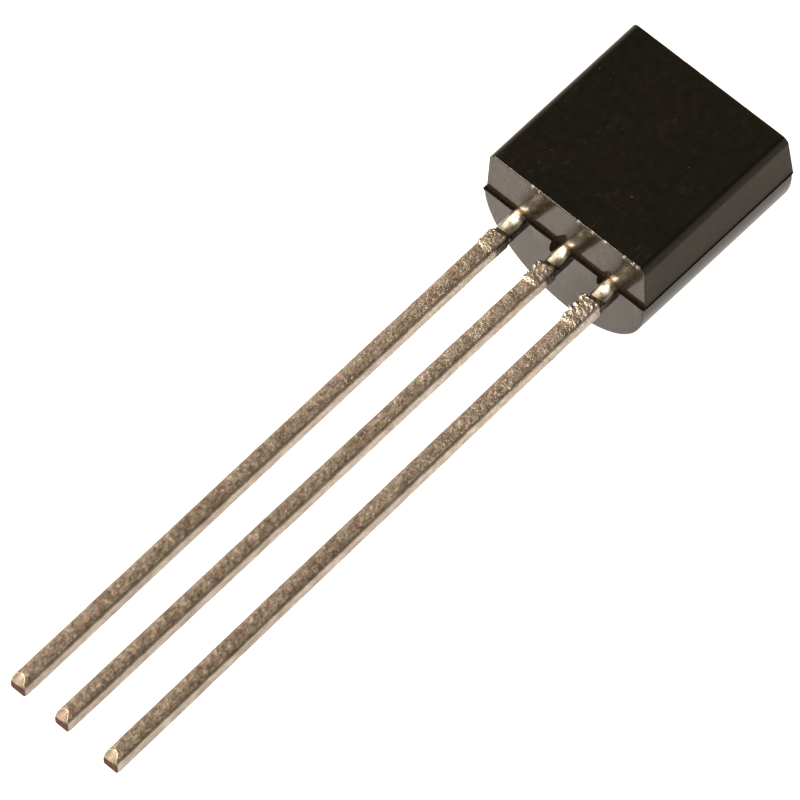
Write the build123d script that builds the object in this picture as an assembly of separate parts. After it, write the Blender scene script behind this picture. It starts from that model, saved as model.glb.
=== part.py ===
from build123d import *
import math
import os

# Three-lead plastic transistor in a TO-92 outline: a D-shaped moulded epoxy body with a flat front,
# three stamped leads in a row at 1.27 mm pitch, and inside it the silicon die, its attach pad
# and two bond wires. All sizes in millimetres.
#
# It is modelled first in the body's own directions, then turned to the pose in which it lies:
#   x  across the flat face, to the right when the leads point down
#   y  along the leads, from the lead side towards the top of the body
#   z  out of the flat face; z = 0 is the parting plane of the mould
# The last step tips it about x, so that the round back's lead-side edge and the three lead tips
# stand on z = 0 with the flat face up.

# ---- moulded body ------------------------------------------------------------------
FRONT_W_PART = 4.43      # width of the front half at the parting plane
FRONT_W_FACE = 4.30      # width of the flat face between the sharp corners (draft of the flanks)
FRONT_DEPTH = 1.20       # parting plane to flat face
BODY_H = 4.44            # height of the front half at the parting plane
DRAFT_LEAD_END = 0.095   # how far the front half's lead-side end leans in at the flat face
DRAFT_TOP_END = 0.05     # how far its top end leans in at the flat face
FLAT_FILLET = 0.18       # round between the flat face and each flank

REAR_R = 2.20            # radius of the round back
REAR_CX = 0.0            # the back half is centred behind the front half
REAR_CZ = -0.07          # centre of the round back, behind the parting plane
REAR_LEDGE = 0.085       # the back half stands out by this much on the lead side
REAR_SIDE_LEDGE = 0.025  # how much further the back half stands out on each side at the parting plane
REAR_DRAFT_END = 0.045   # how far its two ends lean in at the deepest point
REAR_TOP_Y = 4.42        # top end of the back half at the parting plane
REAR_EDGE_R = 0.03       # small round on the lead-side edge of the back

# ---- leads -------------------------------------------------------------------------
PITCH = 1.27             # distance between leads at the body
LEAD_W = (0.415, 0.385, 0.410)   # width of each lead, emitter, collector, base
LEAD_T = 0.35            # sheet thickness
LEAD_Z = -0.13           # middle plane of the sheet
LEAD_TIP_Y = (-14.81, -14.82, -14.85)  # where each lead was cut off
LEAD_TIP_DROP = 0.27     # the middle lead bends back by this much at its tip; the others end level with it
LEAD_ROOT_X = (0.050, 0.045, 0.040)       # sideways offset of each lead where it leaves the body
LEAD_TIP_X = (0.03, -0.012, 0.105)       # sideways offset of each tip
DAM_Y0 = -0.58           # below the smooth neck the tie bar was cut away: a slightly wider stretch
DAM_Y1 = -1.15
DAM_EXTRA = 0.045        # extra half width there
BEND_Y = -1.60           # the lean starts here

# ---- inside ------------------------------------------------------------------------
PAD_W, PAD_Y0, PAD_Y1 = 1.62, 1.55, 3.75     # die paddle on the collector lead
POST_W, POST_Y0, POST_Y1 = 0.92, 1.05, 1.95  # bond posts on the emitter and base leads
DIE = (0.76, 0.76, 0.20)                     # silicon die
DIE_Y = 2.62                                 # centre of the die along the body
ATTACH_T = 0.025                             # die attach layer
ATTACH_OVER = 0.03                           # how far the attach shows round the die
WIRE_D = 0.05                                # bond wire diameter
WIRE_LOOP = 0.30                             # top of the wire loop above the die

SHEET_TOP = LEAD_Z + LEAD_T / 2
SHEET_BOT = LEAD_Z - LEAD_T / 2


def prism(points, z0, z1):
    """Closed outline in x, y pulled from z0 to z1."""
    face = make_face(Polyline(*points, close=True).edges())
    return extrude(Plane.XY.offset(z0) * face, amount=z1 - z0, dir=(0, 0, 1))


# ---- front half: a block with drafted ends and flanks, rounded along both flat edges ----
def rect_at(z, half_w, y0, y1):
    return Plane.XY.offset(z) * make_face(
        Polyline((-half_w, y0), (half_w, y0), (half_w, y1), (-half_w, y1), close=True).edges())


front = loft([
    rect_at(0, FRONT_W_PART / 2, 0, BODY_H),
    rect_at(FRONT_DEPTH, FRONT_W_FACE / 2, DRAFT_LEAD_END, BODY_H - DRAFT_TOP_END),
], ruled=True)
long_edges = [e for e in front.edges()
              if abs(e.center().Z - FRONT_DEPTH) < 1e-3 and abs(e.center().X) > FRONT_W_FACE / 2 - 1e-3]
front = fillet(long_edges, FLAT_FILLET)

# ---- back half: half-round section, ends leaning in towards the back ----
half_w = FRONT_W_PART / 2 + REAR_SIDE_LEDGE
wall_x = REAR_R
section = make_face([
    Line((REAR_CX - wall_x, REAR_CZ), (REAR_CX - half_w, 0)),
    Line((REAR_CX - half_w, 0), (REAR_CX + half_w, 0)),
    Line((REAR_CX + half_w, 0), (REAR_CX + wall_x, REAR_CZ)),
    ThreePointArc((REAR_CX + wall_x, REAR_CZ), (REAR_CX, REAR_CZ - REAR_R), (REAR_CX - wall_x, REAR_CZ)),
])
# the section is drawn with its second coordinate as z and pulled along y
back_plane = Plane(origin=(0, -0.5, 0), x_dir=(1, 0, 0), z_dir=(0, -1, 0))
back = extrude(back_plane * section, amount=6.0, dir=(0, 1, 0))
back_depth = REAR_R - REAR_CZ
side = make_face(Polyline(
    (-REAR_LEDGE - REAR_DRAFT_END * -0.5 / back_depth, 0.5),
    (-REAR_LEDGE, 0),
    (-REAR_LEDGE + REAR_DRAFT_END, -back_depth),
    (-REAR_LEDGE + REAR_DRAFT_END * 1.5, -back_depth - 0.5 * back_depth),
    (REAR_TOP_Y - REAR_DRAFT_END * 1.5, -back_depth - 0.5 * back_depth),
    (REAR_TOP_Y - REAR_DRAFT_END, -back_depth),
    (REAR_TOP_Y, 0),
    (REAR_TOP_Y, 0.5),
    close=True).edges())
side_plane = Plane(origin=(-4, 0, 0), x_dir=(0, 1, 0), z_dir=(1, 0, 0))
back = back & extrude(side_plane * side, amount=8.0, dir=(1, 0, 0))
arc_edges = [e for e in back.edges() if e.geom_type != GeomType.LINE and e.center().Y < 1]
back = fillet(arc_edges, REAR_EDGE_R)

body_solid = front + back


# ---- the pose it lies in ----
# The lowest point of the back half's lead-side edge and the lowest edge of the middle tip share
# one level at this tilt about x; the outer tips' bends then follow from their own lengths.
edge_y = -REAR_LEDGE + REAR_DRAFT_END + REAR_EDGE_R
edge_z = -back_depth + REAR_EDGE_R


def low_body(a):
    return edge_y * math.sin(a) + edge_z * math.cos(a) - REAR_EDGE_R


def low_tip(a):
    return LEAD_TIP_Y[1] * math.sin(a) + (SHEET_BOT - LEAD_TIP_DROP) * math.cos(a)


lo, hi = 0.0, math.radians(20)
for _ in range(60):
    tilt = (lo + hi) / 2
    if low_tip(tilt) > low_body(tilt):
        lo = tilt
    else:
        hi = tilt
tip_drops = [LEAD_TIP_DROP + (y - LEAD_TIP_Y[1]) * math.tan(tilt) for y in LEAD_TIP_Y]
print("tilt in degrees", math.degrees(tilt), "lift", -low_body(tilt), "tip drops", tip_drops)


# ---- leads: the stamped outline seen from the front, meeting the bend seen from the side ----
def side_profile(i):
    """Slab of the sheet seen from the side, bent back slightly outside the body."""
    tip_y, drop = LEAD_TIP_Y[i], tip_drops[i]
    pts = [(5.0, SHEET_TOP), (BEND_Y, SHEET_TOP), (tip_y, SHEET_TOP - drop),
           (tip_y, SHEET_BOT - drop), (BEND_Y, SHEET_BOT), (5.0, SHEET_BOT)]
    face = make_face(Polyline(*pts, close=True).edges())
    return extrude(side_plane * face, amount=8.0, dir=(1, 0, 0))


def leg_outline(i):
    """Left and right edges of the part of the lead outside the body, from the tip upward."""
    cx = (i - 1) * PITCH + LEAD_ROOT_X[i]
    w = LEAD_W[i] / 2
    tip = LEAD_TIP_Y[i]
    tx = (i - 1) * PITCH + LEAD_TIP_X[i]

    def mid(y):
        return cx + (tx - cx) * min(1.0, max(0.0, (y - BEND_Y) / (tip - BEND_Y)))

    right = [(mid(tip) + w, tip), (mid(BEND_Y) + w, BEND_Y), (cx + w, DAM_Y1 - 0.06),
             (cx + w + DAM_EXTRA, DAM_Y1), (cx + w + DAM_EXTRA, DAM_Y0), (cx + w, DAM_Y0 + 0.08), (cx + w, 0.15)]
    left = [(mid(tip) - w, tip), (mid(BEND_Y) - w, BEND_Y), (cx - w, DAM_Y1 - 0.06),
            (cx - w - DAM_EXTRA, DAM_Y1), (cx - w - DAM_EXTRA, DAM_Y0), (cx - w, DAM_Y0 + 0.08), (cx - w, 0.15)]
    return left, right


def lead(i, inner_right, inner_left):
    """inner_right runs from the body up its right side, inner_left back down its left side."""
    left, right = leg_outline(i)
    pts = right + inner_right + inner_left + left[::-1]
    return prism(pts, -3.0, 3.0) & side_profile(i)


we, wc, wb = (w / 2 for w in LEAD_W)
collector = lead(1,
    [(wc, PAD_Y0 - 0.25), (PAD_W / 2, PAD_Y0), (PAD_W / 2, PAD_Y1), (0.55, PAD_Y1 + 0.12)],
    [(-0.55, PAD_Y1 + 0.12), (-PAD_W / 2, PAD_Y1), (-PAD_W / 2, PAD_Y0), (-wc, PAD_Y0 - 0.25)])
pad_x = PAD_W / 2 + 0.16
emitter = lead(0,
    [(-PITCH + we, POST_Y0 - 0.4), (-PITCH + we, POST_Y0), (-pad_x, POST_Y0 + 0.18), (-pad_x, POST_Y1)],
    [(-pad_x - POST_W, POST_Y1), (-pad_x - POST_W, POST_Y0), (-PITCH - we, POST_Y0 - 0.25)])
base = lead(2,
    [(PITCH + wb, POST_Y0 - 0.25), (pad_x + POST_W, POST_Y0), (pad_x + POST_W, POST_Y1)],
    [(pad_x, POST_Y1), (pad_x, POST_Y0 + 0.18), (PITCH - wb, POST_Y0), (PITCH - wb, POST_Y0 - 0.4)])

# ---- die, attach layer ----
die_z0 = SHEET_TOP + ATTACH_T
die_attach = Pos(0, DIE_Y, SHEET_TOP + ATTACH_T / 2) * Box(DIE[0] + 2 * ATTACH_OVER, DIE[1] + 2 * ATTACH_OVER, ATTACH_T)
silicon_die = Pos(0, DIE_Y, die_z0 + DIE[2] / 2) * Box(*DIE)
die_top = die_z0 + DIE[2]


# ---- bond wires: from a pad on the die, up and over, down to the post ----
def bond_wire(x0, y0, x1, y1):
    """Round wire along straight runs joined by arcs, its two ends cut flat on what they join."""
    span = math.hypot(x1 - x0, y1 - y0)
    ux, uy = (x1 - x0) / span, (y1 - y0) / span
    top = die_top + WIRE_LOOP
    path = FilletPolyline(
        (x0, y0, die_top),
        (x0, y0, top),
        (x0 + 0.45 * span * ux, y0 + 0.45 * span * uy, top - 0.02),
        (x1, y1, SHEET_TOP + 0.10),
        (x1, y1, SHEET_TOP),
        radius=[0.10, 0.30, 0.045])
    profile = Plane(origin=path @ 0, z_dir=path % 0) * Circle(WIRE_D / 2)
    wire = sweep(profile, path=path)
    ball = Pos(x0, y0, die_top + 0.022) * Cylinder(0.055, 0.044)
    stitch = Pos(x1, y1, SHEET_TOP + 0.012) * Cylinder(0.060, 0.024)
    return wire + ball + stitch


post_x = pad_x + 0.36
emitter_bond_wire = bond_wire(-0.17, DIE_Y - 0.12, -post_x, POST_Y1 - 0.36)
base_bond_wire = bond_wire(0.17, DIE_Y - 0.12, post_x, POST_Y1 - 0.36)

inner = {
    "emitter_lead": emitter,
    "collector_lead": collector,
    "base_lead": base,
    "die_attach": die_attach,
    "silicon_die": silicon_die,
    "emitter_bond_wire": emitter_bond_wire,
    "base_bond_wire": base_bond_wire,
}
body = body_solid
for piece in inner.values():
    body = body - piece

all_nodes = {"moulded_body": body, **inner}
turned = {}
for name, shape in all_nodes.items():
    turned[name] = Rot(math.degrees(tilt), 0, 0) * shape

boxes = [s.bounding_box() for s in turned.values()]
x_mid = (min(b.min.X for b in boxes) + max(b.max.X for b in boxes)) / 2
y_mid = (min(b.min.Y for b in boxes) + max(b.max.Y for b in boxes)) / 2
z_low = min(b.min.Z for b in boxes)
print("shift", -x_mid, -y_mid, -z_low)

os.makedirs("parts", exist_ok=True)
for name, shape in turned.items():
    placed = Pos(-x_mid, -y_mid, -z_low) * shape
    solids = placed.solids()
    placed = solids[0] if len(solids) == 1 else Compound(children=list(solids))
    placed.label = name
    export_step(placed, f"parts/{name}.step")
    b = placed.bounding_box()
    print(name, len(solids), "volume", round(placed.volume, 5),
          "box", [round(v, 3) for v in (b.min.X, b.min.Y, b.min.Z, b.max.X, b.max.Y, b.max.Z)])
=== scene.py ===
import math

import bpy
import numpy as np
from mathutils import Matrix, Vector, noise
from mathutils.geometry import delaunay_2d_cdt


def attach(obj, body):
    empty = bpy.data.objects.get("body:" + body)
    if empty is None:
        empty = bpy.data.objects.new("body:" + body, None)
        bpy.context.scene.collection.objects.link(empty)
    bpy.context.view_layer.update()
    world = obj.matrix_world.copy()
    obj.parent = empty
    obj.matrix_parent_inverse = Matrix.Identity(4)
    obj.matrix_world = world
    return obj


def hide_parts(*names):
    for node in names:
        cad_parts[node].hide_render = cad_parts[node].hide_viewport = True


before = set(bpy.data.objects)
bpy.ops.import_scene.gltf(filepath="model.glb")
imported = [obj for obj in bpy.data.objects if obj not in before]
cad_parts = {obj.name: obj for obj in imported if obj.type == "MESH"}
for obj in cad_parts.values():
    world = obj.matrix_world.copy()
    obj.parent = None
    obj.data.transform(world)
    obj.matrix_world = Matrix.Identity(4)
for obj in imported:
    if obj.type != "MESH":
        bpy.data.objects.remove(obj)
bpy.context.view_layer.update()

# ------------------------------------------------------------------------------------
# Directions. The part is described in its body's own directions, in millimetres, as in
# the CAD: x across the flat face, y along the leads towards the top of the body, z out of
# the flat face, z = 0 at the mould's parting plane. place() turns that to the row frame.
# ------------------------------------------------------------------------------------
TILT = math.radians(6.5298239472264195)
SHIFT = (0.0, 5.061852297640293, 2.2566721564809233)
CT, ST = math.cos(TILT), math.sin(TILT)


def place(p):
    p = np.asarray(p, float).reshape(-1, 3)
    out = np.empty_like(p)
    out[:, 0] = p[:, 0] + SHIFT[0]
    out[:, 1] = p[:, 1] * CT - p[:, 2] * ST + SHIFT[1]
    out[:, 2] = p[:, 1] * ST + p[:, 2] * CT + SHIFT[2]
    return out * 1e-3


def turn(v):
    x, y, z = v
    return Vector((x, y * CT - z * ST, y * ST + z * CT))


# sizes in millimetres, as in the CAD
W_PART, W_FACE, DEPTH, HEIGHT = 4.43, 4.30, 1.20, 4.44
LEAN_LOW, LEAN_TOP, R_FLAT = 0.095, 0.05, 0.18
R_BACK, Z_BACK, LEDGE, SIDE_LEDGE = 2.20, -0.07, 0.085, 0.025
LEAN_BACK, TOP_BACK = 0.045, 4.42
PITCH = 1.27
LEAD_W = (0.415, 0.385, 0.410)
LEAD_T, LEAD_Z = 0.35, -0.13
TIP_Y = (-14.81, -14.82, -14.85)
ROOT_X = (0.050, 0.045, 0.040)
TIP_X = (0.03, -0.012, 0.105)
BEND_Y = -1.60
PAD_W, PAD_Y0, PAD_Y1 = 1.62, 1.55, 3.75
POST_W, POST_Y0, POST_Y1 = 0.92, 1.05, 1.95
# where each lead is rough with tin, from where the tie bar was cut: start, end, extra left, extra right
ROUGH = ((-0.63, -1.10, 0.030, 0.006), (-0.55, -1.08, 0.060, 0.008), (-0.55, -1.29, 0.100, 0.004))
DARK_SIDE = (-1.00, -0.84, -0.62)
SLANT = 0.075
BEADS = (((-0.74, 0.030), (-1.05, 0.026)), ((-0.62, 0.036), (-0.76, 0.036), (-0.93, 0.024)), ((-0.58, 0.042), (-0.86, 0.034), (-1.02, 0.038), (-1.18, 0.028)))
# chips along the sharp lower edge of the flat, and two nicks in its top edge: x, size, depth
CHIPS_LOW = [(-0.97, 0.045, 0.030), (-0.78, 0.030, 0.016), (0.30, 0.040, 0.026), (0.67, 0.055, 0.018), (1.03, 0.060, 0.022),
             (1.56, 0.040, 0.026), (1.80, 0.050, 0.022), (1.94, 0.035, 0.024), (-1.60, 0.03, 0.010), (-0.30, 0.03, 0.008)]
CHIPS_TOP = [(-0.75, 0.050, 0.018), (-0.27, 0.045, 0.014), (1.2, 0.03, 0.008)]
TIP_DROP = tuple(0.27 + (y - TIP_Y[1]) * math.tan(TILT) for y in TIP_Y)

# ------------------------------------------------------------------------------------
# Camera
# ------------------------------------------------------------------------------------
CAM_POS = (117.40658, -114.19412, 257.52441)
CAM_X = (0.7267728, 0.68569, -0.0403801)
CAM_Y = (-0.5674832, 0.6325265, 0.5271367)
CAM_Z = (0.3869938, -0.3601935, 0.8488206)

cam_data = bpy.data.cameras.new("camera")
cam = bpy.data.objects.new("camera", cam_data)
bpy.context.scene.collection.objects.link(cam)
cam_data.sensor_width = 36.0
cam_data.lens = 675.0
cam_data.clip_start, cam_data.clip_end = 0.01, 2.0
cx, cy, cz = turn(CAM_X), turn(CAM_Y), turn(CAM_Z)
rot = Matrix((cx, cy, cz)).transposed()
cam.matrix_world = Matrix.Translation(Vector(place([CAM_POS])[0])) @ rot.to_4x4()
bpy.context.scene.camera = cam


# ------------------------------------------------------------------------------------
# Small helpers
# ------------------------------------------------------------------------------------
def smooth(a, b, x):
    t = np.clip((np.asarray(x, float) - a) / (b - a), 0.0, 1.0)
    return t * t * (3 - 2 * t)


def fbm(x, y, z, scale, octaves=3, seed=0.0, gain=0.5):
    out = np.empty(len(x))
    for i in range(len(x)):
        s, amp, v = scale, 1.0, 0.0
        for _ in range(octaves):
            v += amp * noise.noise(Vector((x[i] * s + seed, y[i] * s + seed * 1.7, z[i] * s - seed)))
            s *= 2.03
            amp *= gain
        out[i] = v
    return out


def make_mesh(name, points, faces, materials=(), face_material=None, sharp=35.0):
    mesh = bpy.data.meshes.new(name)
    mesh.from_pydata([tuple(p) for p in place(points)], [], [tuple(f) for f in faces])
    obj = bpy.data.objects.new(name, mesh)
    bpy.context.scene.collection.objects.link(obj)
    for m in materials:
        mesh.materials.append(m)
    if face_material is not None:
        mesh.polygons.foreach_set("material_index", np.asarray(face_material, np.int32))
    mesh.polygons.foreach_set("use_smooth", np.ones(len(mesh.polygons), bool))
    mesh.update()
    mesh.set_sharp_from_angle(angle=math.radians(sharp))
    return obj


# ------------------------------------------------------------------------------------
# Materials
# ------------------------------------------------------------------------------------
class Nodes:
    def __init__(self, name):
        self.mat = bpy.data.materials.new(name)
        self.mat.use_nodes = True
        self.nt = self.mat.node_tree
        self.bsdf = self.nt.nodes["Principled BSDF"]
        tex = self.nt.nodes.new("ShaderNodeTexCoord")
        mapping = self.nt.nodes.new("ShaderNodeMapping")
        mapping.inputs["Scale"].default_value = (1000, 1000, 1000)
        mapping.inputs["Rotation"].default_value = (-TILT, 0, 0)
        # undo the shift after turning back
        mapping.inputs["Location"].default_value = (
            -SHIFT[0], -(SHIFT[1] * CT + SHIFT[2] * ST), -(-SHIFT[1] * ST + SHIFT[2] * CT))
        self.nt.links.new(tex.outputs["Object"], mapping.inputs["Vector"])
        self.mm = mapping.outputs["Vector"]
        self.tex = tex

    def link(self, a, b):
        self.nt.links.new(a, b)

    def stretch(self, sx, sy, sz, loc=(0, 0, 0), turn_z=0.0):
        n = self.nt.nodes.new("ShaderNodeMapping")
        n.inputs["Scale"].default_value = (sx, sy, sz)
        n.inputs["Location"].default_value = loc
        n.inputs["Rotation"].default_value = (0, 0, turn_z)
        self.link(self.mm, n.inputs["Vector"])
        return n.outputs["Vector"]

    def noise(self, scale, detail=3.0, rough=0.5, vector=None, distortion=0.0, out="Fac"):
        n = self.nt.nodes.new("ShaderNodeTexNoise")
        n.inputs["Scale"].default_value = scale
        n.inputs["Detail"].default_value = detail
        n.inputs["Roughness"].default_value = rough
        n.inputs["Distortion"].default_value = distortion
        self.link(vector or self.mm, n.inputs["Vector"])
        return n.outputs[out]

    def voronoi(self, scale, vector=None, feature="F1", out="Distance", rand=1.0):
        n = self.nt.nodes.new("ShaderNodeTexVoronoi")
        n.feature = feature
        n.inputs["Scale"].default_value = scale
        n.inputs["Randomness"].default_value = rand
        self.link(vector or self.mm, n.inputs["Vector"])
        return n.outputs[out]

    def ramp(self, fac, stops, interp="LINEAR"):
        n = self.nt.nodes.new("ShaderNodeValToRGB")
        n.color_ramp.interpolation = interp
        el = n.color_ramp.elements
        while len(el) > 1:
            el.remove(el[-1])
        el[0].position, el[0].color = stops[0][0], self.rgba(stops[0][1])
        for pos, col in stops[1:]:
            e = el.new(pos)
            e.color = self.rgba(col)
        self.link(fac, n.inputs["Fac"])
        return n.outputs["Color"]

    @staticmethod
    def rgba(c):
        if isinstance(c, (int, float)):
            return (c, c, c, 1)
        return (*c[:3], 1)

    def math(self, op, a, b=None, clamp=False):
        n = self.nt.nodes.new("ShaderNodeMath")
        n.operation = op
        n.use_clamp = clamp
        for k, v in enumerate((a, b)):
            if v is None:
                continue
            if isinstance(v, (int, float)):
                n.inputs[k].default_value = v
            else:
                self.link(v, n.inputs[k])
        return n.outputs[0]

    def mix(self, fac, a, b, blend="MIX"):
        n = self.nt.nodes.new("ShaderNodeMix")
        n.data_type = "RGBA"
        n.blend_type = blend
        for key, v in (("Factor", fac), ("A", a), ("B", b)):
            sock = next(s for s in n.inputs if s.name == key and s.type == ("VALUE" if key == "Factor" else "RGBA"))
            if isinstance(v, (int, float)) and key == "Factor":
                sock.default_value = v
            elif isinstance(v, (tuple, list, int, float)):
                sock.default_value = self.rgba(v)
            else:
                self.link(v, sock)
        return next(s for s in n.outputs if s.type == "RGBA")

    def separate(self, vector=None):
        n = self.nt.nodes.new("ShaderNodeSeparateXYZ")
        self.link(vector or self.mm, n.inputs["Vector"])
        return n.outputs

    def band(self, value, lo0, lo1, hi0, hi1):
        """0 outside lo0..hi1, 1 between lo1 and hi0, smooth between."""
        up = self.maprange(value, lo0, lo1, 0, 1)
        down = self.maprange(value, hi0, hi1, 1, 0)
        return self.math("MULTIPLY", up, down)

    def maprange(self, value, a, b, c, d, kind="SMOOTHSTEP"):
        n = self.nt.nodes.new("ShaderNodeMapRange")
        n.interpolation_type = kind
        self.link(value, n.inputs["Value"])
        n.inputs["From Min"].default_value, n.inputs["From Max"].default_value = a, b
        n.inputs["To Min"].default_value, n.inputs["To Max"].default_value = c, d
        return n.outputs["Result"]

    def bump(self, height, distance, strength=1.0, normal=None):
        n = self.nt.nodes.new("ShaderNodeBump")
        n.inputs["Strength"].default_value = strength
        n.inputs["Distance"].default_value = distance
        self.link(height, n.inputs["Height"])
        if normal is not None:
            self.link(normal, n.inputs["Normal"])
        return n.outputs["Normal"]

    def color(self, socket):
        self.link(socket, self.bsdf.inputs["Base Color"])

    def rough(self, socket):
        if isinstance(socket, (int, float)):
            self.bsdf.inputs["Roughness"].default_value = socket
        else:
            self.link(socket, self.bsdf.inputs["Roughness"])

    def normal(self, socket):
        self.link(socket, self.bsdf.inputs["Normal"])


def chip_mask(m, x):
    """1 where the lower edge of the flat is chipped, broken up by noise."""
    total = None
    for x0, size, depth in CHIPS_LOW:
        if depth < 0.015:
            continue
        away = m.math("ABSOLUTE", m.math("SUBTRACT", x, x0))
        hit = m.maprange(away, size * 1.25, size * 0.4, 0.0, 1.0)
        total = hit if total is None else m.math("MAXIMUM", total, hit)
    grains = m.ramp(m.noise(16.0, 3.0, 0.65), [(0.40, 0.0), (0.55, 1.0)])
    return m.math("MULTIPLY", total, grains)


def epoxy_face():
    m = Nodes("epoxy_flat_face")
    m.bsdf.inputs["IOR"].default_value = 1.50
    x, y, z = m.separate()
    cloud = m.noise(1.1, 4.0, 0.6)
    grain = m.noise(34.0, 3.0, 0.6)
    base = m.ramp(cloud, [(0.32, (0.0022, 0.0022, 0.0006)), (0.50, (0.0028, 0.0023, 0.0010)), (0.70, (0.0042, 0.0024, 0.0012))])
    col = m.mix(1.0, base, m.ramp(grain, [(0.32, 0.70), (0.68, 1.35)]), "MULTIPLY")
    # pale specks of filler, few and small
    speck = m.ramp(m.voronoi(2.4), [(0.0, 1.0), (0.035, 1.0), (0.06, 0.0)])
    col = m.mix(m.math("MULTIPLY", speck, 0.55), col, (0.075, 0.066, 0.050))
    # scuffs: fine lines that come and go, mostly along one diagonal
    lines = m.noise(3.0, 2.0, 0.5, m.stretch(3.4, 0.35, 1.0, (0.3, 0.1, 0), 0.75))
    scuff = m.ramp(lines, [(0.495, 0.0), (0.503, 1.0), (0.511, 0.0)])
    where = m.ramp(m.noise(1.5, 2.0, 0.5, m.stretch(1, 1, 1, (4.0, 2.0, 0))), [(0.56, 0.0), (0.66, 1.0)])
    col = m.mix(m.math("MULTIPLY", m.math("MULTIPLY", scuff, where), 0.45), col, (0.050, 0.036, 0.022))
    # paler at the chipped lower edge of the flat: painted highlight on the chips; paler brown towards its left and
    # top edges
    low = m.band(m.math("SUBTRACT", y, 0.095), -0.06, -0.01, 0.012, 0.04)
    col = m.mix(m.math("MULTIPLY", m.math("MULTIPLY", low, chip_mask(m, x)), 0.7), col, (0.28, 0.255, 0.215))
    left = m.maprange(x, -2.02, -2.13, 0.0, 1.0)
    top = m.maprange(y, 4.33, 4.40, 0.0, 1.0)
    edge = m.math("MAXIMUM", left, top)
    col = m.mix(m.math("MULTIPLY", edge, 0.8), col, (0.030, 0.016, 0.008))
    m.color(col)
    m.rough(m.maprange(m.noise(5.0, 4.0, 0.6), 0.3, 0.7, 0.20, 0.27, "LINEAR"))
    fine = m.bump(grain, 0.0000025, 0.30)
    m.normal(m.bump(m.noise(7.0, 3.0, 0.5), 0.000006, 0.25, fine))
    return m.mat


def epoxy_end(name, rough_lo, rough_hi, tone=1.0, edge=0.0, gloss=0.45, streak=1.0):
    m = Nodes(name)
    m.bsdf.inputs["IOR"].default_value = 1.5
    m.bsdf.inputs["Specular IOR Level"].default_value = gloss
    m.bsdf.inputs["Specular Tint"].default_value = (1.0, 0.86, 0.69, 1)
    x, y, z = m.separate()
    c = lambda *v: tuple(q * tone for q in v)
    base = m.ramp(m.noise(2.2, 4.0, 0.6), [(0.3, c(0.014, 0.0105, 0.0065)), (0.7, c(0.021, 0.0158, 0.0098))])
    # fine rubbed marks that run up and across the face
    marks = m.noise(5.0, 5.0, 0.7, m.stretch(1.6, 1.0, 5.5, (0, 0, 0)))
    col = m.mix(streak, base, m.mix(1.0, base, m.ramp(marks, [(0.35, 0.6), (0.65, 1.7)]), "MULTIPLY"))
    cross = m.ramp(m.noise(4.0, 4.0, 0.7, m.stretch(6.5, 1.0, 0.8, (2, 0, 1))), [(0.56, 0.0), (0.70, 1.0)])
    col = m.mix(m.math("MULTIPLY", cross, 0.50 if streak == 1.0 else 0.08), col, (0.105, 0.092, 0.074))
    # painted highlight: paler where the chipped edge of the flat meets this face
    if edge:
        rim = m.math("MULTIPLY", m.maprange(z, 1.09, 1.18, 0.0, 1.0), m.maprange(y, 0.5, 0.3, 0.0, 1.0))
        col = m.mix(m.math("MULTIPLY", m.math("MULTIPLY", rim, chip_mask(m, x)), edge), col, (0.50, 0.46, 0.40))
    # painted reflection: specular level lowered in bands that lean like the mirrored leads, standing in for their
    # dark reflection in this face
    if edge:
        painted_dark_reflection = None
        leaned = m.math("SUBTRACT", x, m.math("MULTIPLY", z, 0.40))
        for k in range(3):
            away = m.math("ABSOLUTE", m.math("SUBTRACT", leaned, (k - 1) * PITCH + 0.07))
            hit = m.maprange(away, 0.40, 0.14, 0.0, 1.0)
            painted_dark_reflection = hit if painted_dark_reflection is None else m.math("MAXIMUM", painted_dark_reflection, hit)
        painted_dark_reflection = m.math("MULTIPLY", painted_dark_reflection, m.maprange(z, 0.20, 0.40, 0.0, 1.0))
        painted_dark_reflection = m.math("MULTIPLY", painted_dark_reflection, m.maprange(y, 0.8, 0.4, 0.0, 1.0))
        cloud = m.maprange(m.noise(3.0, 5.0, 0.75), 0.3, 0.7, 0.80, 1.18, "LINEAR")
        level = m.math("MULTIPLY", m.math("SUBTRACT", gloss, m.math("MULTIPLY", painted_dark_reflection, gloss * 0.72)), cloud)
        m.link(level, m.bsdf.inputs["Specular IOR Level"])
    m.color(col)
    m.rough(m.maprange(marks, 0.3, 0.7, rough_lo, rough_hi, "LINEAR"))
    fine = m.bump(marks, 0.000003, 0.35)
    m.normal(m.bump(m.noise(6.0, 2.0, 0.5), 0.000004, 0.25, fine))
    return m.mat


def epoxy_step():
    m = Nodes("epoxy_step")
    # painted shade: the step and the flash webs beside the leads get a darker, duller copy of the epoxy
    m.bsdf.inputs["IOR"].default_value = 1.2
    m.bsdf.inputs["Specular IOR Level"].default_value = 0.10
    m.color(m.ramp(m.noise(9.0, 4.0, 0.6), [(0.3, (0.003, 0.002, 0.0015)), (0.7, (0.009, 0.006, 0.004))]))
    m.rough(m.maprange(m.noise(12.0, 3.0, 0.6), 0.3, 0.7, 0.35, 0.55, "LINEAR"))
    m.normal(m.bump(m.noise(14.0, 3.0, 0.6), 0.000010, 0.5))
    return m.mat


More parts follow.
